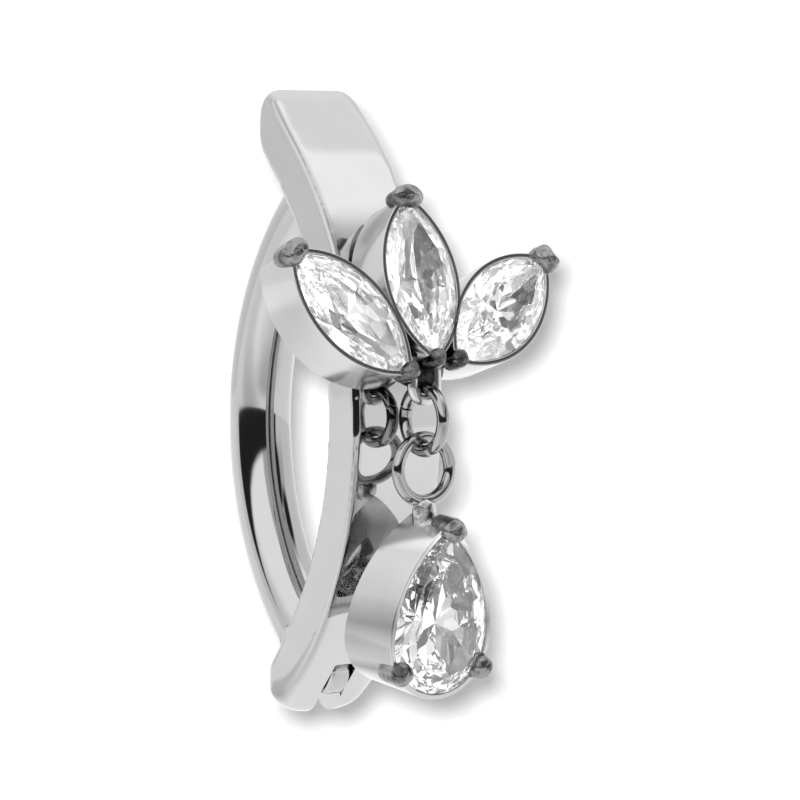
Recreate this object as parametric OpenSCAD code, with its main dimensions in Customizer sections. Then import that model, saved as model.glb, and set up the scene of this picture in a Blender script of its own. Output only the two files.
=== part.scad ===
// Hinged navel ring with a fan of three marquise stones and a hanging pear drop.
// X points to the wearer's left as seen in front, -Y is the front, +Z is up, in millimetres.
// The origin is the middle of the back bar's centreline, where the piercing sits.

/* [Back bar] */
// Diameter of the round wire that passes through the piercing, 14 gauge
bar_d = 1.6; // [1.5:0.05:1.65]
// Radius of the bar's centreline
bar_bend_r = 7.6; // [7.5:0.05:7.7]
// Thickness of the two flat tongues at the bar's ends
tongue_t = 0.6; // [0.5:0.02:0.64]
// Width of the flat tongues, seen from the side
tongue_w = 0.8; // [0.7:0.05:0.84]

/* [Front band] */
// Width of the band, seen from the front
band_w = 2.7; // [2.6:0.05:3]
// Thickness of the band
band_t = 1.2; // [1.15:0.05:1.25]
// Radius of the band's front face
band_face_r = 10.05; // [10:0.01:10.1]
// Height of the centre of the band's curve
band_center_z = 0.2; // [0.1:0.05:0.3]
// How far the front face stands in front of the origin
band_face_y = 6.17; // [6.12:0.01:6.2]
// Angle above the middle at which the curve ends and the band runs on straight
band_bend_end = 43; // [42:1:44]
// Height of the band's top end
band_top_z = 8.6; // [8.5:0.05:8.65]
// Radius of the corners at the top end, seen from the front
top_corner_r = 0.8; // [0.6:0.05:1]
// Radius of the corners at the fork, seen from the front
fork_corner_r = 0.85; // [0.6:0.05:1]
// Radius of the long edges of the front face
edge_r = 0.2; // [0.1:0.02:0.24]

/* [Hinge and catch] */
// Hinge axis, distance in front of the origin
hinge_front = 3.08; // [3.06:0.01:3.1]
// Hinge axis, distance below the origin
hinge_drop = 6.3; // [6.28:0.01:6.32]
// Diameter of the hinge pin
pin_d = 0.5; // [0.4:0.02:0.54]
// Radius of the knuckle on the bar
knuckle_r = 0.52; // [0.48:0.01:0.54]
// Width of the slot between the fork's ears
slot_w = 0.7; // [0.68:0.02:0.8]
// Radial running clearance of the pin in the knuckle
pin_clearance = 0.03; // [0.02:0.01:0.05]
// Gap between pieces that are fixed to each other
seat_gap = 0.02; // [0.01:0.01:0.03]

/* [Marquise fan] */
// Length of a marquise stone
marquise_l = 4.0; // [3.9:0.05:4.05]
// Width of a marquise stone
marquise_w = 2.0; // [1.9:0.05:2.05]
// Wall of a stone's cup
cup_wall = 0.18; // [0.16:0.01:0.2]
// Depth of the cups behind the girdle
cup_depth = 1.4; // [1.35:0.01:1.42]
// Angle at which the fan leans back
fan_lean = 18; // [16:1:19]
// Angle of the left stone from upright
spread_left = 42.5; // [42.5:0.5:46]
// Angle of the right stone from upright
spread_right = 52.5; // [49:0.5:52.5]
// Height of the middle stone's centre
fan_z = 3.8; // [3.75:0.05:3.9]
// How far the middle stone's girdle stands in front of the origin
fan_front = 7.03; // [7.02:0.01:7.1]

/* [Links] */
// Outer diameter of the two small rings
link_od = 1.9; // [1.85:0.05:1.95]
// Thickness of the rings' wire
link_wire = 0.32; // [0.28:0.02:0.34]
// Thickness of the eye's wire under the fan
eye_wire = 0.28; // [0.24:0.02:0.3]
// How far the links hang in front of the origin
drop_front = 7.22; // [7.2:0.01:7.25]

/* [Pear drop] */
// Length of the pear stone
pear_l = 4.1; // [4:0.05:4.2]
// Width of the pear stone
pear_w = 2.75; // [2.7:0.05:2.85]
// Wall of the pear's cup
pear_wall = 0.15; // [0.14:0.01:0.18]
// Depth of the cup at the pear's round end
pear_depth_low = 2.05; // [1.9:0.05:2.1]
// Depth of the cup at the pear's tip
pear_depth_high = 1.5; // [1.4:0.05:1.6]
// Angle at which the pear leans forward at its tip
pear_lean = 7; // [5:1:8]
// Height of the pear's widest line
pear_z = -5.07; // [-5.1:0.01:-5]
// How far the pear's girdle stands in front of the origin at its widest line
pear_front = 7.85; // [7.8:0.05:7.9]

/* [Hidden] */
$fn = 64;
far = 30;

polished_steel = [0.82, 0.82, 0.83];
cast_steel = [0.66, 0.66, 0.67];
clear_stone = [0.93, 0.95, 0.98];

bar_center_y = -bar_bend_r;
band_center_y = band_face_r - band_face_y;
band_inner_r = band_face_r - band_t;
hinge_y = -hinge_front;
hinge_z = -hinge_drop;
pin_r = pin_d / 2;
fit_gap = 0.05;
// Wall that closes the blind end of the pin's bore.
blind_wall = 0.3;

// The band's ends are cut upright at the back, and the fork's end is rounded.
top_back_y = -1.95;
fork_back_y = -2.33;
fork_end_r = 0.42;
fork_end_y = fork_back_y - fork_end_r;
fork_end_z = band_center_z
    - sqrt(pow(band_face_r - fork_end_r, 2) - pow(band_center_y - fork_end_y, 2));
fork_bottom_z = fork_end_z - fork_end_r;
// The round wire stops short of the fork's swing about the hinge.
fork_swing_r = norm([fork_end_y - hinge_y, fork_end_z - hinge_z]) + fork_end_r + fit_gap;

// The catch tongue's round tip lies on the bar's own circle.
catch_z = 6.1;
catch_y = bar_center_y + sqrt(pow(bar_bend_r, 2) - pow(catch_z, 2));
catch_slot_low = 5.42;
catch_slot_l = 4;
catch_slot_r = tongue_w / 2 + fit_gap;

// The stem on the back of the middle cup sits in a blind hole in the band.
stem_r = 0.5;
stem_l = 0.65;

// Outer cups: distance of their centres from the fan's middle line, and below its centre.
seat_across = 2.3;
seat_down = 0.85;

// The cups: their rim over the girdle, the narrowing of their outside, and the bearing
// that the stone's edge sits on, with a cone below it.
rim_rise = 0.08;
cup_taper = 0.08;
bearing = 0.09;
pocket_cone = 0.88;

// The cut stones: half of the girdle's height, the crown above and the depth below it,
// and how much of the outline the table, the star points and the belly's points keep.
girdle_half = 0.05;
crown_h = 0.36;
star_h = 0.2;
marquise_depth = 1.0;
pear_stone_depth = 1.25;
table_share = 0.56;
star_share = 0.8;
belly_share = 0.5;

link_r = (link_od - link_wire) / 2;
eye_half_w = 0.35;
eye_leg_l = 0.75;
eye_z = 0.78;
upper_link_z = eye_z + eye_wire / 2 + seat_gap + link_wire / 2 - link_r;
upper_link_low = upper_link_z - link_r;
lower_ring_z = upper_link_low + link_wire + seat_gap - link_r;

// The bar under the fan that carries the eye.
bridge_r = 0.15;
bridge_l = 1.7;
bridge_down = 2.25;
bridge_back = 0.55;

outer_prong_r = 0.36;
inner_prong_r = 0.24;
pear_prong_r = 0.38;
pear_low_prong_r = 0.3;
prong_foot = 0.5;
prong_lift = 0.1;

// The short stub between the lower ring and the pear's cup.
stub_r = 0.22;
stub_h = 0.6;

// Radius of a pointed arc with half-width b and half-length a, and its centre's offset.
function arc_r(a, b) = (a * a + b * b) / (2 * b);
function arc_c(a, b) = arc_r(a, b) - b;

// Turns a ring that lies in the XY plane upright, into the YZ plane.
module upright() { rotate([0, 90, 0]) children(); }

// A round rod along X, centred on x = 0.
module cross_rod(r, l, y, z) {
    translate([0, y, z]) upright() cylinder(h = l, r = r, center = true);
}

module rounded_rect(w, low, high, low_r, high_r) {
    translate([-w / 2, low + low_r]) square([w, high - low - low_r - high_r]);
    translate([-w / 2 + low_r, low]) square([w - 2 * low_r, low_r + 0.01]);
    translate([-w / 2 + high_r, high - high_r - 0.01]) square([w - 2 * high_r, high_r + 0.01]);
    for (side = [-1, 1]) {
        translate([side * (w / 2 - low_r), low + low_r]) circle(low_r);
        translate([side * (w / 2 - high_r), high - high_r]) circle(high_r);
    }
}

// Section of the band: flat, with soft front edges.
module band_section() {
    translate([band_inner_r, -band_w / 2]) square([band_t - edge_r, band_w]);
    translate([band_inner_r, -band_w / 2 + edge_r]) square([band_t, band_w - 2 * edge_r]);
    for (side = [-1, 1])
        translate([band_face_r - edge_r, side * (band_w / 2 - edge_r)]) circle(edge_r);
}

// Side outline that trims the band's ends, drawn in the YZ plane.
module end_trim() {
    trim_z = 5;
    end = [fork_end_y, fork_end_z];
    outwards = end - [band_center_y, band_center_z];
    polygon([[top_back_y, far], [-far, far], [-far, -far], end + far * outwards / norm(outwards),
             end, [fork_back_y, fork_end_z], [fork_back_y, -trim_z],
             [0, -trim_z], [0, trim_z], [top_back_y, trim_z]]);
    translate(end) circle(fork_end_r);
}

// Frame at the upper end of the band's curve: -Y points outwards, +Z along the band.
module bend_end_frame() {
    translate([0, band_center_y, band_center_z]) rotate([-band_bend_end, 0, 0]) children();
}

// The band's strip before its ends are trimmed: a curve that runs on straight at its top.
module band_strip() {
    difference() {
        translate([0, band_center_y, band_center_z]) upright()
            rotate_extrude($fn = 180) band_section();
        bend_end_frame() translate([-band_w, -far, 0]) cube([2 * band_w, far, far]);
    }
    bend_end_frame() linear_extrude(band_top_z) rotate(-90) band_section();
}

module band_blank() {
    intersection() {
        band_strip();
        translate([0, 1, 0]) rotate([90, 0, 0]) linear_extrude(far)
            rounded_rect(band_w, fork_bottom_z - 0.2, band_top_z, fork_corner_r, top_corner_r);
        rotate([90, 0, 90]) linear_extrude(2 * band_w, center = true) end_trim();
    }
}

// Slot between the ears: everything beyond the bar's own inner curve.
module fork_slot() {
    slot_top_z = -4.5;
    difference() {
        translate([-slot_w / 2, -far, slot_top_z - far]) cube([slot_w, far, far]);
        translate([0, bar_center_y, 0]) upright()
            cylinder(h = far, r = bar_bend_r - tongue_w / 2 - 2 * fit_gap, center = true, $fn = 180);
    }
}

// Slot behind the band's top for the catch tongue: round in front, open at the back.
module catch_slot() {
    cross_rod(catch_slot_r, slot_w, catch_y, catch_z);
    translate([-slot_w / 2, catch_y, catch_slot_low])
        cube([slot_w, catch_slot_l, catch_z + catch_slot_r - catch_slot_low]);
    translate([-slot_w / 2, catch_y - catch_slot_r + seat_gap, catch_slot_low])
        cube([slot_w, catch_slot_r, catch_z - catch_slot_low]);
}

module pin_bore(r) { cross_rod(r, far, hinge_y, hinge_z); }

// Blind bore in the fork: it opens on the right ear only.
module ear_bore() {
    translate([-band_w / 2 + blind_wall, hinge_y, hinge_z]) upright()
        cylinder(h = band_w, r = pin_r + seat_gap);
}

module front_band() {
    color(polished_steel)
        difference() {
            band_blank();
            fork_slot();
            catch_slot();
            ear_bore();
            fan_frame() translate([0, 0, -cup_depth - stem_l - seat_gap])
                cylinder(h = cup_depth + stem_l, r = stem_r + seat_gap);
        }
}

module hinge_pin() {
    color(cast_steel)
        translate([-band_w / 2 + blind_wall + seat_gap, hinge_y, hinge_z]) upright()
            cylinder(h = band_w - blind_wall - 2 * seat_gap, r = pin_r);
}

// The round wire, bent to its circle, cut clear of the band and of the fork's swing.
module bar_wire() {
    difference() {
        intersection() {
            translate([0, bar_center_y, 0]) upright()
                rotate_extrude($fn = 180) translate([bar_bend_r, 0]) circle(bar_d / 2);
            translate([0, band_center_y, band_center_z]) upright()
                cylinder(h = far, r = band_inner_r - fit_gap, center = true, $fn = 180);
        }
        cross_rod(fork_swing_r, far, hinge_y, hinge_z);
    }
}

// Flat tongue inside the wire, which comes out of both its ends.
module bar_tongue() {
    intersection() {
        translate([0, bar_center_y, 0]) upright()
            difference() {
                cylinder(h = tongue_t, r = bar_bend_r + tongue_w / 2, center = true, $fn = 180);
                cylinder(h = far, r = bar_bend_r - tongue_w / 2, center = true, $fn = 180);
            }
        translate([-far / 2, bar_center_y, 0]) rotate([90, 0, 90]) linear_extrude(far)
            polygon([[0, 0], 2 * [hinge_y - bar_center_y, hinge_z], [far, 0],
                     2 * [catch_y - bar_center_y, catch_z]]);
    }
    cross_rod(knuckle_r, tongue_t, hinge_y, hinge_z);
    cross_rod(tongue_w / 2, tongue_t, catch_y, catch_z);
}

module back_bar() {
    color(polished_steel)
        difference() {
            union() {
                bar_wire();
                bar_tongue();
            }
            pin_bore(pin_r + pin_clearance);
        }
}

// Frame of the fan: the girdle plane of the middle stone, table outwards along +Z.
module fan_frame() {
    translate([0, -fan_front, fan_z]) rotate([90 - fan_lean, 0, 0]) children();
}

// Places a child in the fan: -1 left, 0 middle, 1 right.
module fan_seat(side) {
    spread = side < 0 ? spread_left : spread_right;
    translate([side * seat_across, -abs(side) * seat_down, 0])
        rotate([0, 0, -side * spread]) children();
}

// A pointed oval wall between two heights, narrowing towards its back.
module marquise_body(low, high, grow_low, grow_high) {
    r = arc_r(marquise_l / 2, marquise_w / 2);
    c = arc_c(marquise_l / 2, marquise_w / 2);
    intersection_for (side = [-1, 1])
        translate([side * c, 0, low])
            cylinder(h = high - low, r1 = r + grow_low, r2 = r + grow_high, $fn = 96);
}

module marquise_cup() {
    marquise_body(-cup_depth, rim_rise, cup_wall - cup_taper, cup_wall);
}

// The room for a stone in its cup: upright at the girdle, a cone below it.
module marquise_pocket() {
    marquise_body(-bearing, 1, seat_gap, seat_gap);
    marquise_body(-cup_depth - 0.1, -bearing + 0.001, seat_gap - pocket_cone, seat_gap);
}

// A prong: a short post with a round head that leans over the stone's edge.
module prong(r) {
    translate([0, 0, -prong_foot]) cylinder(h = prong_foot + prong_lift, r = r, $fn = 24);
    translate([0, 0, prong_lift]) sphere(r = r, $fn = 24);
}

module marquise_prongs() {
    reach = marquise_l / 2 + 0.08;
    translate([0, reach, 0]) prong(outer_prong_r);
    translate([0, -reach, 0]) prong(inner_prong_r);
}

// The U-shaped eye that the links hang from, below the fan's bridge.
module drop_eye() {
    turn_z = eye_z + eye_half_w;
    translate([0, -drop_front, turn_z]) {
        rotate([90, 0, 0])
            intersection() {
                rotate_extrude() translate([eye_half_w, 0]) circle(eye_wire / 2, $fn = 24);
                translate([-link_od, -link_od, -link_od]) cube([2 * link_od, link_od, 2 * link_od]);
            }
        for (side = [-1, 1])
            translate([side * eye_half_w, 0, 0])
                cylinder(h = eye_leg_l, r = eye_wire / 2, $fn = 24);
    }
}

module fan_bridge() {
    fan_frame() translate([0, -bridge_down, -bridge_back]) upright()
        cylinder(h = bridge_l, r = bridge_r, center = true, $fn = 24);
}

module marquise_setting() {
    color(cast_steel)
        union() {
            fan_frame() difference() {
                union() {
                    for (side = [-1, 0, 1]) fan_seat(side) marquise_cup();
                    for (side = [-1, 0, 1]) fan_seat(side) marquise_prongs();
                }
                for (side = [-1, 0, 1]) fan_seat(side) marquise_pocket();
            }
            fan_frame() translate([0, 0, -cup_depth - stem_l])
                cylinder(h = stem_l + 0.3, r = stem_r, $fn = 48);
            fan_bridge();
            drop_eye();
        }
}

// A cut stone over any outline. Rings of points run from the table to the culet,
// and every ring after the table is turned by half a step against the next.
module cut_stone(outline, depth) {
    n = len(outline);
    half = n / 2;
    function at(i, share, z) = [outline[i % n][0] * share, outline[i % n][1] * share, z];
    table = [for (k = [0 : half - 1]) at(2 * k, table_share, crown_h)];
    star = [for (k = [0 : half - 1]) at(2 * k + 1, star_share, star_h)];
    girdle_top = [for (i = [0 : n - 1]) at(i, 1, girdle_half)];
    girdle_low = [for (i = [0 : n - 1]) at(i, 1, -girdle_half)];
    belly = [for (k = [0 : half - 1]) at(2 * k, belly_share, -depth * (1 - belly_share) - girdle_half)];
    culet = [[0, 0, -depth]];
    s0 = half;
    g0 = 2 * half;
    l0 = g0 + n;
    b0 = l0 + n;
    c0 = b0 + half;
    polyhedron(
        points = concat(table, star, girdle_top, girdle_low, belly, culet),
        faces = concat(
            [[for (k = [half - 1 : -1 : 0]) k]],
            [for (k = [0 : half - 1]) [k, (k + 1) % half, s0 + k]],
            [for (k = [0 : half - 1]) [k, s0 + k, g0 + 2 * k]],
            [for (k = [0 : half - 1]) [(k + 1) % half, g0 + (2 * k + 2) % n, s0 + k]],
            [for (k = [0 : half - 1]) [s0 + k, g0 + 2 * k + 1, g0 + 2 * k]],
            [for (k = [0 : half - 1]) [s0 + k, g0 + (2 * k + 2) % n, g0 + 2 * k + 1]],
            [for (i = [0 : n - 1]) [g0 + i, g0 + (i + 1) % n, l0 + i]],
            [for (i = [0 : n - 1]) [g0 + (i + 1) % n, l0 + (i + 1) % n, l0 + i]],
            [for (k = [0 : half - 1]) [l0 + 2 * k, l0 + 2 * k + 1, b0 + k]],
            [for (k = [0 : half - 1]) [l0 + 2 * k + 1, l0 + (2 * k + 2) % n, b0 + (k + 1) % half]],
            [for (k = [0 : half - 1]) [l0 + 2 * k + 1, b0 + (k + 1) % half, b0 + k]],
            [for (k = [0 : half - 1]) [b0 + k, b0 + (k + 1) % half, c0]]));
}

// Outline points by angle, seen from the table, which run the way that the faces expect.
function marquise_point(angle) =
    let (a = marquise_l / 2, b = marquise_w / 2, c = arc_c(a, b), r = arc_r(a, b),
         s = cos(angle) < 0 ? -1 : 1,
         span = asin(a / r), turn = span * asin(sin(angle)) / 90)
    [s * (r * cos(turn) - c), r * sin(turn)];

function pear_point(angle) =
    let (b = pear_w / 2, a = pear_l - b, c = arc_c(a, b), r = arc_r(a, b),
         s = cos(angle) < 0 ? -1 : 1,
         span = asin(a / r), turn = span * asin(sin(angle)) / 90)
    sin(angle) < 0 ? [b * cos(angle), b * sin(angle)] : [s * (r * cos(turn) - c), r * sin(turn)];

function ring_angles(n) = [for (i = [0 : n - 1]) -360 * i / n + 90];

module marquise_stone(side) {
    color(clear_stone) fan_frame() fan_seat(side)
        cut_stone([for (t = ring_angles(16)) marquise_point(t)], marquise_depth);
}

module upper_link() {
    color(polished_steel)
        translate([0, -drop_front, upper_link_z]) upright()
            rotate_extrude() translate([link_r, 0]) circle(link_wire / 2, $fn = 32);
}

// A pear-shaped wall between two heights: a cone below, a pointed arch above.
module pear_body(low, high, grow_low, grow_high) {
    b = pear_w / 2;
    a = pear_l - b;
    h = high - low;
    translate([0, 0, low]) {
        cylinder(h = h, r1 = b + grow_low, r2 = b + grow_high, $fn = 96);
        intersection() {
            intersection_for (side = [-1, 1])
                translate([side * arc_c(a, b), 0, 0])
                    cylinder(h = h, r1 = arc_r(a, b) + grow_low, r2 = arc_r(a, b) + grow_high,
                             $fn = 128);
            translate([-a, 0, 0]) cube([2 * a, 2 * a, h]);
        }
    }
}

// Frame of the pear: its girdle plane, table outwards along +Z, tip along +Y.
module pear_frame() {
    translate([0, -pear_front, pear_z]) rotate([90 + pear_lean, 0, 0]) children();
}

// The room for the stone, and below it the light hole through the cup's back.
module pear_pocket() {
    cone_end = -1.0;
    hole_grow = -0.78;
    pear_body(-bearing, 1, seat_gap, seat_gap);
    pear_body(cone_end, -bearing + 0.001, hole_grow, seat_gap);
    pear_body(-pear_depth_low - 1, cone_end + 0.001, hole_grow, hole_grow);
}

module pear_cup() {
    low_y = -pear_w / 2;
    fall = atan((pear_depth_low - pear_depth_high) / pear_l);
    difference() {
        pear_body(-pear_depth_low - 0.1, rim_rise, pear_wall, pear_wall);
        translate([0, low_y, -pear_depth_low]) rotate([fall, 0, 0])
            translate([-pear_l, -pear_l, -pear_l]) cube([2 * pear_l, 3 * pear_l, pear_l]);
    }
}

module pear_prongs() {
    b = pear_w / 2 + 0.05;
    translate([0, pear_l - pear_w / 2 + seat_gap, 0]) prong(pear_prong_r);
    for (side = [-1, 1])
        rotate([0, 0, side * 45]) translate([0, -b, 0]) prong(pear_low_prong_r);
}

module lower_ring() {
    translate([0, -drop_front, lower_ring_z]) rotate([90, 0, 0])
        rotate_extrude() translate([link_r, 0]) circle(link_wire / 2, $fn = 32);
}

module pear_setting() {
    color(cast_steel)
        union() {
            pear_frame() difference() {
                union() {
                    pear_cup();
                    pear_prongs();
                }
                pear_pocket();
            }
            lower_ring();
            translate([0, -drop_front, lower_ring_z - link_r - stub_h])
                cylinder(h = stub_h, r = stub_r, $fn = 24);
        }
}

module pear_stone() {
    color(clear_stone) pear_frame()
        cut_stone([for (t = ring_angles(16)) pear_point(t)], pear_stone_depth);
}

back_bar();
front_band();
hinge_pin();
marquise_setting();
marquise_stone(-1);  // marquise_stone_left
marquise_stone(0);  // marquise_stone_center
marquise_stone(1);  // marquise_stone_right
upper_link();
pear_setting();
pear_stone();
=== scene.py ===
"""A hinged navel ring: a bowed back bar, a curved front band with a fan of three
marquise stones, two links and a pear drop. Sizes are in millimetres until each piece
is finished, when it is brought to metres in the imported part's own frame."""
import math

import bmesh
import bpy
from mathutils import Matrix, Vector


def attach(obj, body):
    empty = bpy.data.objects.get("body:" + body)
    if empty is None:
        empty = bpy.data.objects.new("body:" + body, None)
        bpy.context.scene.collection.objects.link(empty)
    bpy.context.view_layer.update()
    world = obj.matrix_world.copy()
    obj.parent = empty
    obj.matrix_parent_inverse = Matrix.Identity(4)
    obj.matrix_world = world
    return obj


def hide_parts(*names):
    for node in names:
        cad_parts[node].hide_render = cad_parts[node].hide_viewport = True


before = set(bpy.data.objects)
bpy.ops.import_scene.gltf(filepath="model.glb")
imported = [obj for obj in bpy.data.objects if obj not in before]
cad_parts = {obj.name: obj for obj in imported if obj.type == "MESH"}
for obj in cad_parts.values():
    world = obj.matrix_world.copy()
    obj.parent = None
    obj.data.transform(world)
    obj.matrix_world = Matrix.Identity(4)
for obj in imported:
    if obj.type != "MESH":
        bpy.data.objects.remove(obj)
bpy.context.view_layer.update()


# The back bar is the round steel wire that sits in the piercing. It is bent to a bow
# and its ends are filed to flat tongues: the lower one turns on the hinge pin, and the
# upper one snaps into a slot behind the band.
MM = 0.001
ACROSS = Vector((1, 0, 0))
bar_wire_r = 0.8
bar_bend_r = 7.6
bar_centre = Vector((0, -bar_bend_r, 0))
tongue_t, tongue_w = 0.6, 0.8
hinge = Vector((0, -3.08, -6.3))
catch_z = 6.1
catch = Vector((0, bar_centre.y + math.sqrt(bar_bend_r ** 2 - catch_z ** 2), catch_z))
knuckle_r = 0.64
pin_r = 0.25
running_gap, fit_gap = 0.03, 0.05
hair = 0.02
band_centre = Vector((0, 3.88, 0.2))
band_face_r, band_t = 10.05, 1.2
band_inner_r = band_face_r - band_t
fork_swing_r = 1.28
polish_edge = 0.05


def clear():
    """Leaves edit mode with nothing selected."""
    if bpy.context.mode != "OBJECT":
        bpy.ops.object.mode_set(mode="OBJECT")
    bpy.ops.object.select_all(action="DESELECT")


def take(piece):
    """Makes a piece the only selected and active object, out of edit mode."""
    clear()
    piece.select_set(True)
    bpy.context.view_layer.objects.active = piece
    return piece


def start(name, primitive, scale=(1, 1, 1), **sizes):
    """A new primitive at its size and place, named as the piece that it becomes."""
    clear()
    getattr(bpy.ops.mesh, f"primitive_{primitive}_add")(**sizes)
    piece = bpy.context.object
    piece.name = name
    piece.scale = scale
    bpy.ops.object.transform_apply(location=True, rotation=True, scale=True)
    return piece


def rod(name, radius, low, high, sides=72):
    """A round rod from one point to another."""
    low, high = Vector(low), Vector(high)
    turn = (high - low).to_track_quat("Z", "Y").to_euler()
    return start(name, "cylinder", vertices=sides, radius=radius, depth=(high - low).length,
                 location=(low + high) / 2, rotation=turn)


def cross_rod(name, radius, width, middle, sides=72):
    """A round rod across the piece, along X."""
    half = ACROSS * width / 2
    return rod(name, radius, middle - half, middle + half, sides)


def block(name, low, high):
    """A block between two opposite corners."""
    low, high = Vector(low), Vector(high)
    return start(name, "cube", size=1, location=(low + high) / 2, scale=high - low)


def carve(piece, *tools, how="DIFFERENCE"):
    """Cuts tools from a piece, joins them to it or keeps what they share, and drops them."""
    for tool in tools:
        take(piece)
        step = piece.modifiers.new("carve", "BOOLEAN")
        step.operation, step.object, step.solver = how, tool, "EXACT"
        bpy.ops.object.modifier_apply(modifier=step.name)
        bpy.data.objects.remove(tool)
    return piece


def pick(piece, kind, test):
    """Selects the verts, edges or faces that pass a test on their middle and direction."""
    take(piece)
    bpy.ops.object.mode_set(mode="EDIT")
    bpy.ops.mesh.select_mode(type=kind.upper()[:-1])
    bpy.ops.mesh.select_all(action="DESELECT")
    mesh = bmesh.from_edit_mesh(piece.data)
    for part in getattr(mesh, kind):
        if kind == "verts":
            middle, way = part.co, part.normal
        elif kind == "edges":
            middle = (part.verts[0].co + part.verts[1].co) / 2
            way = (part.verts[1].co - part.verts[0].co).normalized()
        else:
            middle, way = part.calc_center_median(), part.normal
        part.select_set(bool(test(middle, way)))
    bmesh.update_edit_mesh(piece.data)


def shut(piece):
    """Leaves edit mode with the piece's faces pointing outwards."""
    bpy.ops.mesh.select_all(action="SELECT")
    bpy.ops.mesh.remove_doubles(threshold=1e-5)
    bpy.ops.mesh.normals_make_consistent(inside=False)
    bpy.ops.object.mode_set(mode="OBJECT")
    return piece


def bow(piece, centre, angle, steps, straight=None):
    """Spins a flat section about an axis across the piece, then runs it on straight."""
    pick(piece, "faces", lambda middle, way: True)
    bpy.ops.mesh.spin(steps=steps, angle=-math.radians(angle), center=centre, axis=ACROSS)
    if straight:
        bpy.ops.mesh.extrude_region_move(TRANSFORM_OT_translate={"value": straight})
    return shut(piece)


def soften(piece, width, segments=3, angle=32):
    """Rounds a piece's sharp edges, as polishing does."""
    take(piece)
    edge = piece.modifiers.new("soften", "BEVEL")
    edge.width, edge.segments, edge.limit_method = width, segments, "ANGLE"
    edge.angle_limit = math.radians(angle)
    edge.harden_normals = False
    edge.miter_outer = "MITER_ARC"
    bpy.ops.object.modifier_apply(modifier=edge.name)
    return piece


def hand_over(piece, body, slot, material, *nodes, smooth=35):
    """Brings a finished piece to metres, gives it its finish and its body, and hides the CAD nodes that
    it stands in for.
    """
    take(piece)
    piece.scale = (MM, MM, MM)
    bpy.ops.object.transform_apply(location=True, rotation=True, scale=True)
    bpy.ops.object.shade_smooth_by_angle(angle=math.radians(smooth))
    even = piece.modifiers.new("even", "WEIGHTED_NORMAL")
    even.keep_sharp = True
    bpy.ops.object.modifier_apply(modifier=even.name)
    piece.data.materials.clear()
    piece.data.materials.append(material)
    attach(piece, body)
    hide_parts(*nodes)
    return piece


class Wire:
    """A shader socket that can be reckoned with, so a finish reads as its own sum."""

    def __init__(self, tree, socket):
        self.tree, self.socket = tree, socket

    def node(self, kind, settings=None, **inputs):
        """Any node: its settings are set first, then the values or links of its sockets."""
        made = self.tree.nodes.new("ShaderNode" + kind)
        for key, value in (settings or {}).items():
            if key == "stops":
                for stop, (place, shade) in zip(made.color_ramp.elements, value):
                    stop.position, stop.color = place, (shade, shade, shade, 1)
            else:
                setattr(made, key, value)
        for key, value in inputs.items():
            socket = made.inputs[int(key[1:]) if key[0] == "_" else key.replace("_", " ")]
            if isinstance(value, Wire):
                self.tree.links.new(value.socket, socket)
            else:
                socket.default_value = value
        return Wire(self.tree, made.outputs[0])

    def sum(self, operation, a, b=0.0):
        return self.node("Math", {"operation": operation}, _0=a, _1=b)

    def __add__(self, other):
        return self.sum("ADD", self, other)

    def __sub__(self, other):
        return self.sum("SUBTRACT", self, other)

    def __rsub__(self, other):
        return self.sum("SUBTRACT", other, self)

    def __mul__(self, other):
        return self.sum("MULTIPLY", self, other)

    __radd__, __rmul__ = __add__, __mul__


def new_finish(name, **constants):
    """A named material, with its Principled shader and a Wire of Object coordinates in millimetres."""
    material = bpy.data.materials.new(name)
    material.use_nodes = True
    tree = material.node_tree
    shader = tree.nodes["Principled BSDF"]
    for key, value in constants.items():
        shader.inputs[key.replace("_", " ")].default_value = value
    place = tree.nodes.new("ShaderNodeTexCoord")
    start_wire = Wire(tree, place.outputs["Object"])
    at = start_wire.node("VectorMath", {"operation": "SCALE"}, _0=start_wire, Scale=1 / MM)
    return material, shader, at


def feed(shader, socket, wire):
    """Links a finish's sum to one socket of its shader."""
    wire.tree.links.new(wire.socket, shader.inputs[socket])


def polished_steel(name, shade, cloud=0.03, rough=0.04, painted_shading=None):
    """Buffed surgical steel: faint clouds of tone, hairline buffing marks and a soft ripple, times an
    optional pattern of painted light and shade.
    """
    material, shader, at = new_finish(name, Metallic=1.0)
    haze = at.node("TexNoise", Vector=at, Scale=0.9, Detail=3.0, Roughness=0.5)
    hairs_at = at.node("Mapping", Vector=at, Scale=(1.0, 1.0, 0.12))
    hairs = at.node("TexNoise", Vector=hairs_at, Scale=55.0, Detail=2.0, Roughness=0.6)
    tone = shade - cloud + haze * (2 * cloud)
    # An optional pattern of painted light and shade is multiplied into the colour.
    if painted_shading:
        tone = tone * painted_shading(at)
    feed(shader, "Base Color", at.node("CombineColor", Red=tone, Green=tone, Blue=tone * 1.004))
    feed(shader, "Roughness", rough + hairs * 0.03)
    ripple = at.node("TexNoise", Vector=at, Scale=1.6, Detail=1.0, Roughness=0.4)
    bump = at.node("Bump", Strength=0.06, Distance=0.02 * MM, Height=ripple + hairs * 0.02)
    feed(shader, "Normal", bump)
    return material


def along(at, axis, centre, half, depth):
    """A soft change of tone about one height or one side of a piece."""
    place = Wire(at.tree, at.node("SeparateXYZ", _0=at).socket.node.outputs[axis])
    near = at.sum("MAXIMUM", 1.0 - at.sum("ABSOLUTE", place - centre) * (1 / half))
    return 1.0 + near * depth


bar_steel = polished_steel("bar_steel", 0.42)


def bar_angle(point):
    """Angle of a point on the bar's circle above the middle, in degrees."""
    return math.degrees(math.atan2(point.z - bar_centre.z, point.y - bar_centre.y))


def bar_section(angle):
    """Place and turn of a flat section of the bar at an angle."""
    way = math.radians(angle)
    place = bar_centre + Vector((0, math.cos(way), math.sin(way))) * bar_bend_r
    return {"location": place, "rotation": (way, 0, 0)}


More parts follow.
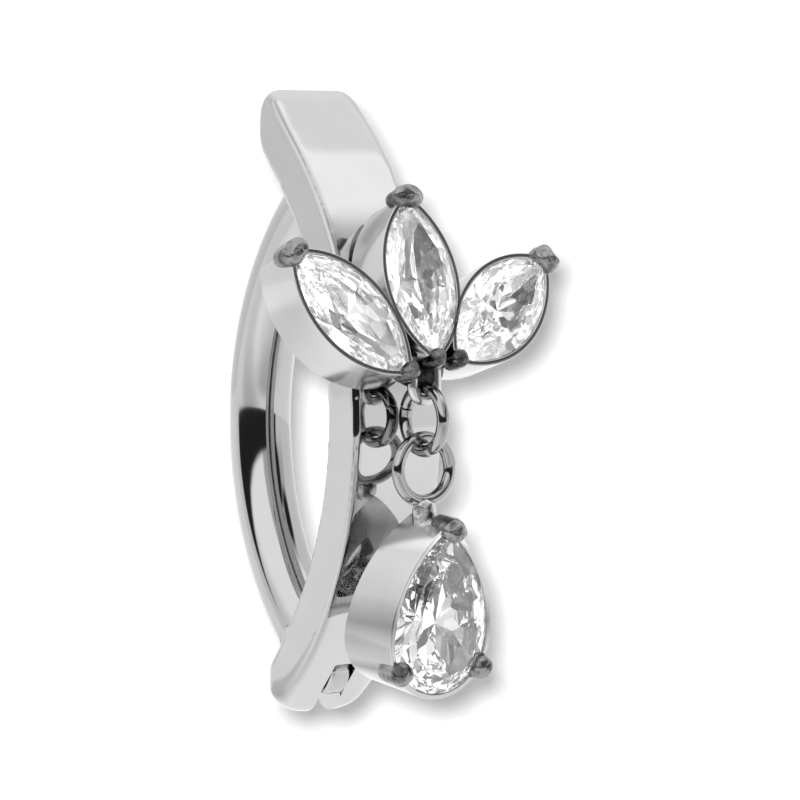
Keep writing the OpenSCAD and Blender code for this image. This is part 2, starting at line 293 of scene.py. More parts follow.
wire_from, wire_to = -54, 56
wide, wider, far = 4, 5, 12
bar = start("bar_wire", "circle", vertices=56, radius=bar_wire_r, fill_type="NGON",
            **bar_section(wire_from))
bow(bar, bar_centre, wire_to - wire_from, 84)
carve(bar, cross_rod("trim", band_inner_r - fit_gap, wide, band_centre, 220), how="INTERSECT")
carve(bar, cross_rod("trim", fork_swing_r, wide, hinge))
soften(bar, polish_edge)
# The tongue starts inside the knuckle, a little past the hinge.
tongue_from = bar_angle(hinge) + 3.3
tongue = start("tongue", "plane", size=1, scale=(tongue_t, tongue_w, 1), **bar_section(tongue_from))
bow(tongue, bar_centre, bar_angle(catch) - tongue_from, 84)
carve(tongue, soften(cross_rod("knuckle", knuckle_r, tongue_t + 0.01, hinge), 0.12, 5),
      cross_rod("catch", tongue_w / 2 + 0.003, tongue_t - 0.01, catch), how="UNION")
carve(tongue, cross_rod("bore", pin_r + running_gap, wide, hinge))
soften(tongue, polish_edge)
carve(bar, tongue, how="UNION")
hand_over(bar, "bar", "polished_steel", bar_steel, "back_bar")


# The front band is one strip of steel, bent to a bow and polished. Its upper end runs
# on straight and is cut upright at the back, and its lower end is slotted into a fork
# whose rounded ears hold the hinge pin.
band_w = 2.7
band_edge_r = 0.06
band_bend_end = 43
band_start = -47
band_top_z = 8.6
top_back_y = -1.8
fork_back_y = -2.2
fork_end_r = 0.42
fork_end = Vector((0, fork_back_y - fork_end_r, 0))
fork_end.z = band_centre.z - math.sqrt(
    (band_face_r - fork_end_r) ** 2 - (band_centre.y - fork_end.y) ** 2)
top_corner, fork_corner = (0.95, 0.7), (0.85, 0.85)
slot_w = 0.7
slot_top_z = -4.5
catch_slot_r = tongue_w / 2 + fit_gap
catch_slot_low = 5.42
blind_wall = 0.3
straight_l = 3.2
slot_clear = 0.1
shoulder_t, shoulder_z, top_cut_z, fork_cut_z = 1.3, 5.9, 4, -4.6
top_wear, wear = 0.19, 0.14
top_arc_r, top_arc_z = 2.1, 7.75
flare, flare_steps = 0.15, 20

# The band's colour is darker in a soft line along its left crease: painted shade where the crease turns
# away from the light.
band_steel = polished_steel("band_steel", 0.5, painted_shading=lambda at: along(at, "X", -1.25, 0.15, -0.3))


def band_point(angle, radius):
    """Place on the band's circle, at an angle above the middle in degrees."""
    way = math.radians(angle)
    return band_centre + Vector((0, -math.cos(way), math.sin(way))) * radius


band = start("band_strip", "plane", size=1, scale=(band_w, band_t, 1),
             location=band_point(band_start, band_face_r - band_t / 2),
             rotation=(-math.radians(band_start), 0, 0))
outer_corner_r = band_face_r - 0.01
pick(band, "verts", lambda middle, way: (middle - band_centre).yz.length > outer_corner_r)
bpy.ops.mesh.bevel(offset=band_edge_r, segments=6, affect="VERTICES")
bpy.ops.object.mode_set(mode="OBJECT")
bend_end = math.radians(band_bend_end)
bow(band, band_centre, band_start - band_bend_end, 96,
    straight=Vector((0, math.sin(bend_end), math.cos(bend_end))) * straight_l)

band_low_z = fork_end.z - fork_end_r - wear


def end_outline(name, end_z, other_z, corner):
    """A block across the band with its two corners at one end rounded wide and tall."""
    width, height = corner
    form = block(name, (-band_w / 2, -far, 0), (band_w / 2, 1, abs(other_z - end_z) * width / height))
    pick(form, "edges", lambda middle, way: abs(way.y) > 0.9 and middle.z < 0.01)
    bpy.ops.mesh.bevel(offset=width, segments=18, affect="EDGES")
    bpy.ops.object.mode_set(mode="OBJECT")
    form.scale.z = height / width * (1 if other_z > end_z else -1)
    form.location.z = end_z
    take(form)
    bpy.ops.object.transform_apply(location=True, rotation=True, scale=True)
    pick(form, "faces", lambda middle, way: True)
    return shut(form)


def tumble(piece, grain, zones):
    """Gives a blank an even skin and wears it round, zone by zone, as tumbling does."""
    take(piece)
    skin = piece.modifiers.new("skin", "REMESH")
    skin.mode, skin.voxel_size = "VOXEL", grain
    bpy.ops.object.modifier_apply(modifier=skin.name)
    for test, repeats in zones:
        pick(piece, "verts", test)
        bpy.ops.mesh.vertices_smooth(factor=0.5, repeat=repeats)
    return shut(piece)


# The back of the band is cut upright at both ends, with a round shoulder at the top.
top_back = block("top_back", (-wide / 2, top_back_y - shoulder_t, shoulder_z), (wide / 2, far, far))
top_arc = Vector((0, top_back_y - top_arc_r, top_arc_z))
carve(top_back, cross_rod("top_arc", top_arc_r, wider, top_arc, 160))
carve(band, top_back, block("top_cut", (-wide / 2, top_back_y, top_cut_z), (wide / 2, far, far)),
      block("fork_cut", (-wide / 2, fork_back_y, -far), (wide / 2, far, fork_cut_z)))
outward = math.atan2(fork_end.z - band_centre.z, fork_end.y - band_centre.y)
end_cut = block("end_cut", (-wide / 2, 0, 0), (wide / 2, far, far))
end_cut.rotation_euler = (outward, 0, 0)
end_cut.location = fork_end
take(end_cut)
bpy.ops.object.transform_apply(location=True, rotation=True, scale=True)
carve(band, end_cut)
carve(band, cross_rod("round_end", fork_end_r + wear, band_w, fork_end), how="UNION")
carve(band, end_outline("top_outline", band_top_z + top_wear, band_low_z - 1, top_corner),
      how="INTERSECT")
carve(band, end_outline("fork_outline", band_low_z, band_top_z + 1, fork_corner), how="INTERSECT")
# The right edge flares a little towards the top.
for step in range(flare_steps):
    pick(band, "verts", lambda middle, way: middle.x > 0.4 + step * 0.02 and middle.z > 5.0 + step * 0.1)
    bpy.ops.transform.translate(value=(flare / flare_steps, 0, 0))
# Tumbling wears the whole skin, then the faces, and then both ends, more towards each tip.
zones = [(lambda middle, way: True, 12), (lambda middle, way: abs(middle.x) < band_w / 2 - wear, 20)]
zones += [(lambda middle, way, z=7.2 + step * 0.1: middle.z > z, 1 + step // 2) for step in range(12)]
zones += [(lambda middle, way, z=-5.3 - step * 0.1: middle.z < z, 2 + step) for step in range(14)]
zones += [(lambda middle, way: middle.z > 6.0 or middle.z < -5.2, 12)]
tumble(band, 0.05, zones)
# The fork's slot, the catch's slot and the pin's bore are milled last.
slot = block("slot", (-slot_w / 2, -far, -far), (slot_w / 2, 0, slot_top_z))
carve(slot, cross_rod("bar_curve", bar_bend_r - tongue_w / 2 - slot_clear, wide, bar_centre, 180))
carve(band, slot)
catch_slot = cross_rod("catch_slot", catch_slot_r, slot_w, catch)
carve(catch_slot, block("run_in", (-slot_w / 2, catch.y - catch_slot_r + hair, catch_slot_low),
                        (slot_w / 2, catch.y + wide, catch_z)), how="UNION")
carve(catch_slot, block("run_in", (-slot_w / 2, catch.y, catch_slot_low),
                        (slot_w / 2, catch.y + wide, catch_z + catch_slot_r)), how="UNION")
carve(band, catch_slot)
carve(band, rod("ear_bore", pin_r + hair, hinge + ACROSS * (blind_wall - band_w / 2),
                hinge + ACROSS * wide / 2))
soften(band, polish_edge, angle=55)
hand_over(band, "band", "polished_steel", band_steel, "front_band")


# The hinge pin is a short steel rod, pressed into the fork's ears from the right and
# filed to a shallow dome, on which the bar's knuckle turns.
pin_steel = polished_steel("pin_steel", 0.45)
pin = rod("hinge_pin_rod", pin_r, hinge + ACROSS * (blind_wall + hair - band_w / 2),
          hinge + ACROSS * (band_w / 2 - hair), 48)
soften(pin, 0.06, 4)
hand_over(pin, "band", "cast_steel", pin_steel, "hinge_pin")


# The fan is cast in one piece: three pointed cups side by side, each with a claw over
# both of its stone's tips, a stem that holds it on the band, and a near-black lump below,
# painted shade for the gaps between the cups, that carries the eye for the links.
marquise_l, marquise_w = 4.0, 2.0
cup_wall, cup_taper, cup_depth = 0.15, 0.05, 1.4
rim_rise, rim_r, bearing = 0.08, 0.05, 0.09
seat_gap, cone_taper = hair, 0.84
cone_grow = seat_gap - cone_taper
stem_r, stem_l = 0.5, 0.65
seat_across, seat_down = 2.3, 0.85
seats = {"left": (-1, 42.5), "center": (0, 0), "right": (1, -52.5)}
fan_lean = 18
fan_place = Matrix.Translation((0, -7.03, 3.8)) @ Matrix.Rotation(math.radians(90 - fan_lean), 4, "X")


def cast_steel(name, shade, rough=0.16, grain=9.0, depth=0.5):
    """As-cast steel after tumbling: uneven tone, darker hollows and a lumpy skin."""
    material, shader, at = new_finish(name, Metallic=1.0)
    patches = at.node("TexNoise", Vector=at, Scale=grain * 0.35, Detail=3.0, Roughness=0.55)
    fine = at.node("TexNoise", Vector=at, Scale=grain * 1.5, Detail=3.0, Roughness=0.6)
    hollows = at.node("ValToRGB", {"stops": [(0.36, 0.3), (0.56, 1.0)]}, Fac=patches)
    tone = (shade + fine * 0.1) * hollows
    feed(shader, "Base Color", at.node("CombineColor", Red=tone, Green=tone, Blue=tone))
    feed(shader, "Roughness", rough + fine * 0.14)
    bump = at.node("Bump", Strength=depth, Distance=0.05 * MM, Height=patches + fine * 0.12)
    feed(shader, "Normal", bump)
    return material


def into(piece, *steps):
    """Places a finished form by one or more matrices, applied to its mesh."""
    for step in reversed(steps):
        piece.matrix_world = step @ piece.matrix_world
        take(piece)
        bpy.ops.object.transform_apply(location=True, rotation=True, scale=True)
    return piece


def seat(side, angle):
    """Place of one stone in the fan."""
    place = Matrix.Translation((side * seat_across, -abs(side) * seat_down, 0))
    return place @ Matrix.Rotation(math.radians(angle), 4, "Z")


def arc_of(length, width):
    """Radius of a pointed oval's two arcs, and how far their centres lie from the middle."""
    radius = (length ** 2 + width ** 2) / (2 * width)
    return radius, radius - width


def marquise_loop(grow, height, steps=64):
    """A pointed oval drawn with a compass: down the right arc and up the left one."""
    radius, offset = arc_of(marquise_l / 2, marquise_w / 2)
    tip = math.sqrt((radius + grow) ** 2 - offset ** 2)
    span = math.asin(tip / (radius + grow))
    loop = start("marquise_loop", "circle", vertices=4, radius=tip, location=(0, 0, height))
    pick(loop, "verts", lambda middle, way: middle.y < tip - 1e-3)
    bpy.ops.mesh.delete(type="VERT")
    for side in (1, -1):
        pick(loop, "verts", lambda middle, way: side * middle.y > tip - 1e-3)
        bpy.ops.mesh.spin(steps=steps, angle=2 * span, center=(-side * offset, 0, height),
                          axis=(0, 0, 1))
    bpy.ops.mesh.select_all(action="SELECT")
    bpy.ops.mesh.remove_doubles(threshold=1e-3)
    bpy.ops.object.mode_set(mode="OBJECT")
    return loop


def merge(first, *others):
    """Makes one piece of several, without welding them."""
    take(first)
    for other in others:
        other.select_set(True)
    bpy.ops.object.join()
    return first


def shell(name, draw, rows, hollow=True):
    """Walls through like outlines, pair by pair: closed in a ring, or with a lid at each end."""
    walls = []
    for here, there in zip(rows, rows[1:] + rows[:1]):
        if hollow or there != rows[0]:
            walls.append(merge(draw(*here), draw(*there)))
            pick(walls[-1], "edges", lambda middle, way: True)
            bpy.ops.mesh.bridge_edge_loops()
    for row in () if hollow else (rows[0], rows[-1]):
        walls.append(draw(*row))
        pick(walls[-1], "edges", lambda middle, way: True)
        bpy.ops.mesh.edge_face_add()
    take(walls[0])
    form = merge(*walls)
    form.name = name
    pick(form, "faces", lambda middle, way: True)
    return shut(form)


bright_cast = polished_steel("fan_steel", 0.52, cloud=0.04, rough=0.17)
claw_steel = cast_steel("claw_steel", 0.22)
# The inner claws get a darker copy of the claw steel: painted shade for the dark gaps between the cups'
# inner tips.
inner_claw_painted_shade = cast_steel("inner_claw_painted_shade", 0.1)


def pocket(word):
    """The room that a stone needs, cut also from the neighbours' walls."""
    form = shell("pocket", marquise_loop,
                 [(seat_gap, 1.0), (seat_gap, -bearing), (cone_grow, -cup_depth)], hollow=False)
    return into(form, seat(*seats[word]))


for word in seats:
    cup = shell("fan_cup_" + word, marquise_loop, [
        (cup_wall - cup_taper, -cup_depth), (cup_wall, rim_rise), (seat_gap, rim_rise),
        (seat_gap, -bearing), (cone_grow, -cup_depth)])
    soften(cup, rim_r, 4)
    into(cup, seat(*seats[word]))
    carve(cup, *[pocket(other) for other in seats if other != word])
    into(cup, fan_place)
    hand_over(cup, "band", "cast_steel", bright_cast, "marquise_setting")

stem = into(rod("fan_stem", stem_r, (0, 0, -cup_depth - stem_l), (0, 0, -cup_depth + hair), 56),
            fan_place)
soften(stem, 0.04)
hand_over(stem, "band", "cast_steel", bright_cast, "marquise_setting")


def claw(name, radius, foot, rise, seed, flat=1.0):
    """A cast claw: a post with a lumpy round head, pushed over the stone's tip."""
    piece = start(name, "uv_sphere", segments=20, ring_count=14, radius=radius,
                  location=(0, 0, rise), scale=(1, flat, flat))
    pick(piece, "verts", lambda middle, way: middle.z < rise - radius * 0.35)
    bpy.ops.transform.translate(value=(0, radius * 0.1, -foot))
    pick(piece, "verts", lambda middle, way: middle.z > rise - radius * 0.2)
    bpy.ops.transform.vertex_random(offset=radius * 0.16, uniform=0.6, normal=0.6, seed=seed)
    bpy.ops.mesh.vertices_smooth(factor=0.5, repeat=2)
    shut(piece)
    rounding = piece.modifiers.new("rounding", "SUBSURF")
    rounding.levels = rounding.render_levels = 1
    take(piece)
    bpy.ops.object.modifier_apply(modifier=rounding.name)
    return piece


outer_claw_r, inner_claw_r, claw_foot, claw_lift = 0.44, 0.26, 0.3, 0.1
claw_reach = marquise_l / 2 + 0.08
for order, (word, (side, angle)) in enumerate(seats.items()):
    for end, radius in ((1, outer_claw_r), (-1, inner_claw_r)):
        name = f"fan_claw_{word}_{'outer' if end > 0 else 'inner'}"
        piece = claw(name, radius, claw_foot, claw_lift, order * 2 + end + 3,
                     flat=0.75 if end > 0 else 1.0)
        into(piece, fan_place, seat(side, angle), Matrix.Translation((0, end * claw_reach, 0)))
        hand_over(piece, "band", "cast_steel", claw_steel if end > 0 else inner_claw_painted_shade,
                  "marquise_setting", smooth=60)

# The eye is a U of wire below the fan. It is soldered to a near-black lump that fills the
# corner behind the cups' inner tips: painted shade for the deep gaps between the cups.
eye_wire_r, eye_half_w, eye_leg = 0.14, 0.35, 0.75
drop_y = -7.22
eye_z = 0.78
eye_turn = Vector((0, drop_y, eye_z + eye_half_w))
eye = start("fan_eye", "circle", vertices=24, radius=eye_wire_r, fill_type="NGON",
            location=eye_turn + Vector((-eye_half_w, 0, eye_leg)))
pick(eye, "faces", lambda middle, way: True)
bpy.ops.mesh.extrude_region_move(TRANSFORM_OT_translate={"value": (0, 0, -eye_leg)})
bpy.ops.mesh.spin(steps=28, angle=math.pi, center=eye_turn, axis=(0, 1, 0))
bpy.ops.mesh.extrude_region_move(TRANSFORM_OT_translate={"value": (0, 0, eye_leg)})
shut(eye)
hand_over(eye, "band", "cast_steel", bright_cast, "marquise_setting", smooth=60)
# The lump is near-black steel: painted shade in the gaps behind the cups' inner tips.
shade_lump = into(claw("fan_shade_lump", 0.62, 0, 0, 31, flat=0.9), fan_place,
            Matrix.Translation((-0.08, -2.12, -0.7)), Matrix.Diagonal((1.3, 0.95, 0.6, 1)))
carve(shade_lump, *[into(pocket(word), fan_place) for word in seats])
hand_over(shade_lump, "band", "cast_steel", cast_steel("shade_lump_black", -0.02, rough=0.3), "marquise_setting",
          smooth=60)


# The three marquise stones are clear, cut facet by facet from a block: the girdle
# first, then the table and the crown, and the deep pavilion below.
crown_h, girdle_half, marquise_depth = 0.36, 0.05, 1.0
main_lean, half_lean, star_lean, star_inset = 35, 42, 23, 0.5
culet_short, culet_past, belly = 0.4, 0.07, 1.16


def clear_stone(name, tint, painted_glow):
    """Clear cubic zirconia: flat polished facets that split the room's light and dark, with a faint
    painted glow that stands in for scattered light.
    """
    # The emission is painted light: the stone glows faintly though it is no lamp.
    material, shader, at = new_finish(name, Roughness=0.0, IOR=2.15, Emission_Strength=painted_glow,
                                      Emission_Color=(1, 1, 1, 1))
    shader.inputs["Transmission Weight"].default_value = 1.0
    veil = at.node("TexNoise", Vector=at, Scale=1.2, Detail=2.0)
    tone = tint - 0.02 + veil * 0.02
    feed(shader, "Base Color", at.node("CombineColor", Red=tone, Green=tone, Blue=tone * 1.005))
    return material


def facet(point, normal):
    """Cuts away all that lies beyond a plane, and closes the stone with a flat facet."""
    bpy.ops.mesh.select_all(action="SELECT")
    bpy.ops.mesh.bisect(plane_co=point, plane_no=normal, use_fill=True, clear_outer=True,
                        threshold=1e-6)


def cut_stone(name, outline, depth, culet_y=0.0):
    """Cuts a stone from its outline, points with their outward directions, mains at even places."""
    reach = 3 * max(point.length for point, way in outline)
    stone = block(name, (-reach, -reach, -depth), (reach, reach, crown_h))
    pick(stone, "faces", lambda middle, way: True)
    culet = Vector((0, culet_y, -depth))
    up = Vector((0, 0, 1))
    for point, way in outline:
        facet(point, way)
    for order, (point, way) in enumerate(outline):
        main = order % 2 == 0
        lean = math.radians(main_lean if main else half_lean)
        facet(point + up * girdle_half, way * math.sin(lean) + up * math.cos(lean))
        if not main:
            lean = math.radians(star_lean)
            facet(point - way * star_inset + up * crown_h, way * math.sin(lean) + up * math.cos(lean))
        low = point - up * girdle_half
        aim = culet if main else culet - up * depth * culet_short
        edge = up.cross(way)
        normal = edge.cross(aim - low).normalized()
        facet(low, normal if normal.dot(way) > 0 else -normal)
        if not main:
            shallow = point * belly - up * girdle_half * 0.5
            aim = culet + up * depth * culet_past
            normal = edge.cross(aim - shallow).normalized()
            facet(shallow, normal if normal.dot(way) > 0 else -normal)
    return shut(stone)


def pointed_outline(length, width, places):
    """Points and outward directions along both arcs of a pointed oval, tip to tip."""
    radius, offset = arc_of(length, width)
    span = math.asin(length / radius)
    points = []
    for side in (-1, 1):
        for step in range(places):
            turn = span * (-1 + 2 * (step + 0.5) / places) * side
            way = Vector((side * math.cos(turn), math.sin(turn), 0))
            points.append((way * radius - Vector((side * offset, 0, 0)), way))
    return points


marquise_outline = pointed_outline(marquise_l / 2, marquise_w / 2, 11)
for word, (side, angle) in seats.items():
    stone = cut_stone("stone_" + word, marquise_outline, marquise_depth)
    into(stone, fan_place, seat(side, angle))
    hand_over(stone, "band", "stone", clear_stone("clear_" + word, 1.0, 0.03), "marquise_stone_" + word,
              smooth=1)


# The upper link is a jump ring of round steel wire, wound, sawn off, closed edge to edge
# and polished. It hangs in the eye and carries the drop's own ring.
link_od, link_wire = 1.9, 0.32
link_r = (link_od - link_wire) / 2
link_z = eye_z + eye_wire_r + hair + link_wire / 2 - link_r
saw_gap, saw_turn = 2.0, 200
link_centre = Vector((0, drop_y, link_z))
link = start("upper_ring", "circle", vertices=28, radius=link_wire / 2, fill_type="NGON",
             location=link_centre - Vector((0, link_r, 0)))
bow(link, link_centre, 360 - saw_gap, 96)
soften(link, 0.02)
into(link, Matrix.Translation(link_centre) @ Matrix.Rotation(math.radians(saw_turn), 4, "X")
     @ Matrix.Translation(-link_centre))
link_steel = polished_steel("link_steel", 0.33, cloud=0.05, rough=0.08)
hand_over(link, "link", "polished_steel", link_steel, "upper_link", smooth=60)


# The drop is a deep pear-shaped cup, cast with a light hole through its back and three
# claws over the stone. Its wire ring is soldered on above the tip.
pear_l, pear_w = 4.1, 2.75
pear_b = pear_w / 2
pear_a = pear_l - pear_b
pear_wall, pear_low, pear_high = 0.15, 2.05, 1.5
pear_lean = 7
pear_middle = Vector((0, -7.88, -5.09))
pear_place = Matrix.Translation(pear_middle) @ Matrix.Rotation(math.radians(90 + pear_lean), 4, "X")
ring_z = link_z - link_r + link_wire + hair - link_r
hole_grow, cone_end = -0.78, -1.0


def pear_loop(grow, height):
    """A pear's outline in one plane, drawn with a compass: half a circle and two arcs that meet."""
    radius, offset = arc_of(pear_a, pear_b)
    span = math.acos(offset / (radius + grow))
    loop = start("pear_loop", "circle", vertices=96, radius=pear_b + grow, location=(0, 0, height))
    pick(loop, "verts", lambda middle, way: middle.y > 1e-4)
    bpy.ops.mesh.delete(type="VERT")
    for side in (1, -1):
        pick(loop, "verts", lambda middle, way: side * middle.x > pear_b + grow - 1e-4)
        bpy.ops.mesh.spin(steps=48, angle=-side * span, center=(-side * offset, 0, height),
                          axis=(0, 0, 1))
    bpy.ops.mesh.select_all(action="SELECT")
    bpy.ops.mesh.remove_doubles(threshold=1e-3)
    bpy.ops.object.mode_set(mode="OBJECT")
    return loop


def painted_pear_reflections(at):
    """Painted reflections on the wall: brighter towards the tip, with two darker bands that stand in for
    dark reflections of the studio.
    """
    tip = along(at, "Z", -2.3, 0.6, 0.95)
    return tip * along(at, "Z", -4.7, 0.7, -0.45) * along(at, "Z", -5.85, 0.22, -0.5)


# The pear wall's colour carries painted reflections: a brighter tip and two darker bands.
pear_steel = polished_steel("pear_steel", 0.5, cloud=0.04, rough=0.17, painted_shading=painted_pear_reflections)
past_low = pear_low + 0.1
pear_cup = shell("pear_cup", pear_loop, [
    (pear_wall, -past_low), (pear_wall, rim_rise), (seat_gap, rim_rise), (seat_gap, -bearing),
    (hole_grow, cone_end), (hole_grow, -past_low)])
soften(pear_cup, rim_r, 4)
fall = math.atan((pear_low - pear_high) / pear_l)
back_cut = into(block("back_cut", (-6, -6, -6), (6, 12, 0)),
                Matrix.Translation((0, -pear_b, -pear_low)) @ Matrix.Rotation(fall, 4, "X"))
carve(pear_cup, back_cut)
into(pear_cup, pear_place)
hand_over(pear_cup, "drop", "cast_steel", pear_steel, "pear_setting")

pear_claw_foot = 0.4
pear_claws = ((177.5, pear_a + 0.02, 0.36, 0.9), (-55, pear_b + 0.03, 0.33, 1.0),
              (59, pear_b + 0.07, 0.36, 1.0))
for order, (angle, reach, radius, flat) in enumerate(pear_claws):
    piece = claw(f"pear_claw_{order + 1}", radius, pear_claw_foot, claw_lift, 11 + order, flat=flat)
    into(piece, pear_place, Matrix.Rotation(math.radians(angle), 4, "Z"),
         Matrix.Translation((0, -reach, 0)), Matrix.Rotation(math.pi, 4, "Z"))
    hand_over(piece, "drop", "cast_steel", claw_steel, "pear_setting", smooth=60)

ring_centre = Vector((0, drop_y, ring_z))
ring = start("drop_ring", "torus", major_radius=link_r, minor_radius=link_wire / 2,
             major_segments=96, minor_segments=28, location=ring_centre, rotation=(math.pi / 2, 0, 0))
solder = into(claw("drop_solder", 0.34, 0.3, 0, 21, flat=0.85),
              Matrix.Translation(ring_centre - Vector((0, 0.04, link_r + 0.2))))
hand_over(solder, "drop", "cast_steel", cast_steel("solder_steel", 0.5), "pear_setting", smooth=60)
ring_steel = polished_steel("ring_steel", 0.33, cloud=0.05, rough=0.08)
hand_over(ring, "drop", "cast_steel", ring_steel, "pear_setting", smooth=50)


# The pear stone is cut in the same way, with its mains drawn to a culet above the middle
# of its round end.
pear_depth, culet_up = 1.25, 0.35
places_round, places_arch = 9, 7


def pear_outline():
    """Points and outward directions round the pear's round end and along its two arcs."""
    radius, offset = arc_of(pear_a, pear_b)
    span = math.asin(pear_a / radius)
    points = []
    for step in range(places_round):
        turn = math.pi + math.pi * (step + 0.5) / places_round
        way = Vector((math.cos(turn), math.sin(turn), 0))
        points.append((way * pear_b, way))
    for side in (1, -1):
        for step in range(places_arch):
            turn = span * (step + 0.5) / places_arch
            way = Vector((side * math.cos(turn), math.sin(turn), 0))
            points.append((way * radius - Vector((side * offset, 0, 0)), way))
    return points


drop_stone = cut_stone("stone_pear", pear_outline(), pear_depth, culet_up)
into(drop_stone, pear_place)
hand_over(drop_stone, "drop", "stone", clear_stone("clear_pear", 1.0, 0.006), "pear_stone", smooth=1)


# The studio: a round white table with painted shadows and a painted glow below the hanging
# ring, soft boxes at the left and above, pale walls, and the dark open room in front, which
# draws the steel's black streaks.
table_middle, table_r = Vector((0.175, 0.278, -0.030)), 0.57
table = start("table", "circle", vertices=96, radius=table_r, fill_type="NGON", location=table_middle)
table_finish, table_shader, at = new_finish("pale_table", Roughness=0.9, Emission_Strength=1.0)


def rising(wire, low, high):
    """Nothing below the low value, one above the high one, and a soft rise between them."""
    return wire.node("MapRange", {"interpolation_type": "SMOOTHSTEP"}, Value=wire,
                     From_Min=low, From_Max=high)


def patch(x, y, inner, outer):
    """A round patch of the table, full within the inner distance and gone beyond the outer one."""
    away = at.node("VectorMath", {"operation": "DISTANCE"}, _0=at, _1=(x, y, table_middle.z / MM))
    away = Wire(at.tree, away.socket.node.outputs["Value"])
    return 1.0 - rising(away, inner, outer)


# The table's colour is darkened in three round patches, painted shadows, and its emission is a painted
# glow, brighter in one patch.
painted_table_shadow = 1.0 - patch(-28.0, -88.0, 20.0, 95.0) * 0.4
painted_table_shadow = painted_table_shadow * (1.0 - patch(-260.0, -60.0, 60.0, 220.0) * 0.35)
painted_table_shadow = painted_table_shadow * (1.0 - patch(-33.0, 58.0, 20.0, 60.0) * 0.25)
shade = (0.86 + at.node("TexNoise", Vector=at, Scale=0.01) * 0.02) * painted_table_shadow
feed(table_shader, "Base Color", at.node("CombineColor", Red=shade, Green=shade, Blue=shade))
painted_table_glow = (0.25 + patch(-55.0, -24.0, 15.0, 75.0) * 0.3) * painted_table_shadow
feed(table_shader, "Emission Color", at.node("CombineColor", Red=painted_table_glow, Green=painted_table_glow, Blue=painted_table_glow))
table.data.materials.append(table_finish)

scene = bpy.context.scene
scene.cycles.max_bounces, scene.cycles.glossy_bounces, scene.cycles.transmission_bounces = 32, 24, 24
scene.view_settings.view_transform = "Standard"
world = bpy.data.worlds.new("studio")
scene.world = world
world.use_nodes = True
tree = world.node_tree
sky = tree.nodes["Background"]
direction = Wire(tree, tree.nodes.new("ShaderNodeTexCoord").outputs["Generated"])
parts = direction.node("SeparateXYZ", _0=direction).socket.node.outputs
right, back, up = (Wire(tree, part) for part in parts)
azimuth = right.sum("DEGREES", right.sum("ARCTAN2", right, back * -1.0))
elevation = up.sum("DEGREES", up.sum("ARCSINE", up))


def across(wire, low, high, soft):
    """One between two values of an angle and nothing outside them, with soft edges."""
    return rising(wire, low - soft, low + soft) * (1.0 - rising(wire, high - soft, high + soft))


def toward(azimuth, elevation):
    """Direction from the ring: azimuth 0 is the front, and 90 the right."""
    side, lift = math.radians(azimuth), math.radians(elevation)
    return Vector((math.sin(side) * math.cos(lift), -math.cos(side) * math.cos(lift), math.sin(lift)))


def spot(azimuth, elevation, inner, outer):
    """A round spot of the sky, full within the inner angle and gone beyond the outer one."""
    facing = direction.node("VectorMath", {"operation": "DOT_PRODUCT"}, _0=direction,
                            _1=toward(azimuth, elevation))
    facing = Wire(tree, facing.socket.node.outputs["Value"])
    return rising(facing, math.cos(math.radians(outer)), math.cos(math.radians(inner)))


left_box = rising(azimuth, -120, -92) * (1.0 - rising(azimuth, -33, -27)) * rising(elevation, 7, 11)
top_box = across(azimuth, -60, 28, 8) * across(elevation, 57, 70, 3)
top_box = top_box + across(azimuth, 28, 83, 3) * across(elevation, 45, 70, 3)
front_wall = across(azimuth, -29, 52, 4) * across(elevation, 5, 50, 6)
back_left = (1.0 - rising(azimuth, -126, -112)) * rising(elevation, 10, 34)
high_right = rising(azimuth, 82, 88) * rising(elevation, 42, 52)
open_room = across(azimuth, -123, 26, 3) * (1.0 - rising(elevation, 6.5, 9.5))
pale_walls, gloom, white_page = 1.1, 0.03, 1.02
level = pale_walls + left_box.sum("MAXIMUM", left_box * 0.5, top_box * 0.5) - front_wall * 0.35
level = level + back_left * 0.22 + high_right * 0.2
level = level * (1.0 - spot(22, 17, 9, 15)) * (1.0 - spot(43, 30, 6, 13)) * (1.0 - open_room)
seen = Wire(tree, tree.nodes.new("ShaderNodeLightPath").outputs["Is Camera Ray"])
level = direction.node("Mix", {"data_type": "FLOAT"}, Factor=seen, A=level + gloom, B=white_page)
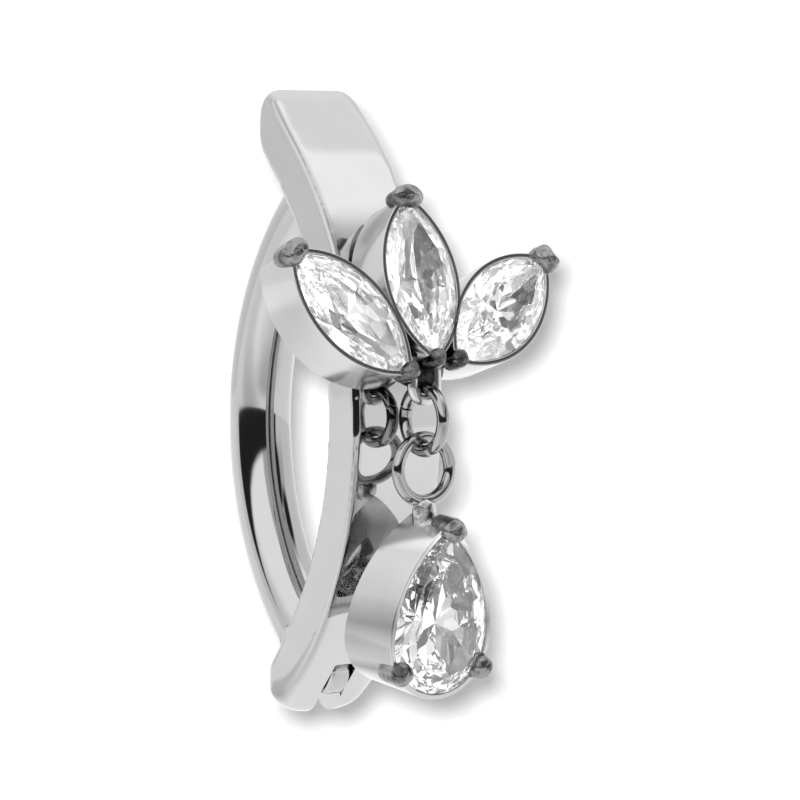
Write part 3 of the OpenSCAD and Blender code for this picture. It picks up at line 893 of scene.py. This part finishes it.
grey = direction.node("CombineColor", Red=level, Green=level, Blue=level)
tree.links.new(grey.socket, sky.inputs["Color"])

# The camera stands at the front left, a little above the ring, with a long lens that
# hardly foreshortens it.
camera_azimuth, camera_elevation, camera_roll = -36.1, 3.0, 0.23
camera_distance = 0.110
photo_centre = Vector((1.30, -4.42, 0.63)) * MM
pixels_per_mm, image_px = 39.24, 800
camera = bpy.data.objects.new("camera", bpy.data.cameras.new("camera"))
scene.collection.objects.link(camera)
scene.camera = camera
stand = (Matrix.Rotation(math.radians(camera_azimuth), 4, "Z")
         @ Matrix.Rotation(math.radians(90 - camera_elevation), 4, "X")
         @ Matrix.Rotation(math.radians(camera_roll), 4, "Z"))
camera_spot = photo_centre + stand.to_3x3() @ Vector((0, 0, camera_distance))
camera.matrix_world = Matrix.Translation(camera_spot) @ stand
camera.data.lens = camera.data.sensor_width * pixels_per_mm * camera_distance / MM / image_px
camera.data.clip_start, camera.data.clip_end = 0.01, 10

# A white board hangs far behind the ring, and a small lamp beside the camera throws the
# ring's soft shadow on it, to the right and below, as in the photograph.
board_far, board_w = 0.16, 0.07
lamp_aside, lamp_size, lamp_power = Vector((-0.00045, 0.00062, camera_distance)), 0.0012, 1.15
board = start("backdrop", "plane", size=1, scale=(board_w, board_w, 1), rotation=stand.to_euler(),
              location=photo_centre - stand.to_3x3() @ Vector((0, 0, board_far)))
board_finish, board_shader, at = new_finish("backdrop_board", Roughness=1.0)
shade = 0.4 + at.node("TexNoise", Vector=at, Scale=0.02) * 0.01
feed(board_shader, "Base Color", at.node("CombineColor", Red=shade, Green=shade, Blue=shade))
board.data.materials.append(board_finish)
bpy.ops.object.light_add(type="AREA", location=photo_centre + stand.to_3x3() @ lamp_aside,
                         rotation=stand.to_euler())
lamp = bpy.context.object
lamp.name = "shadow_lamp"
lamp.data.shape, lamp.data.size, lamp.data.energy = "DISK", lamp_size, lamp_power
lamp.light_linking.receiver_collection = bpy.data.collections.new("lit_by_shadow_lamp")
lamp.light_linking.receiver_collection.objects.link(board)
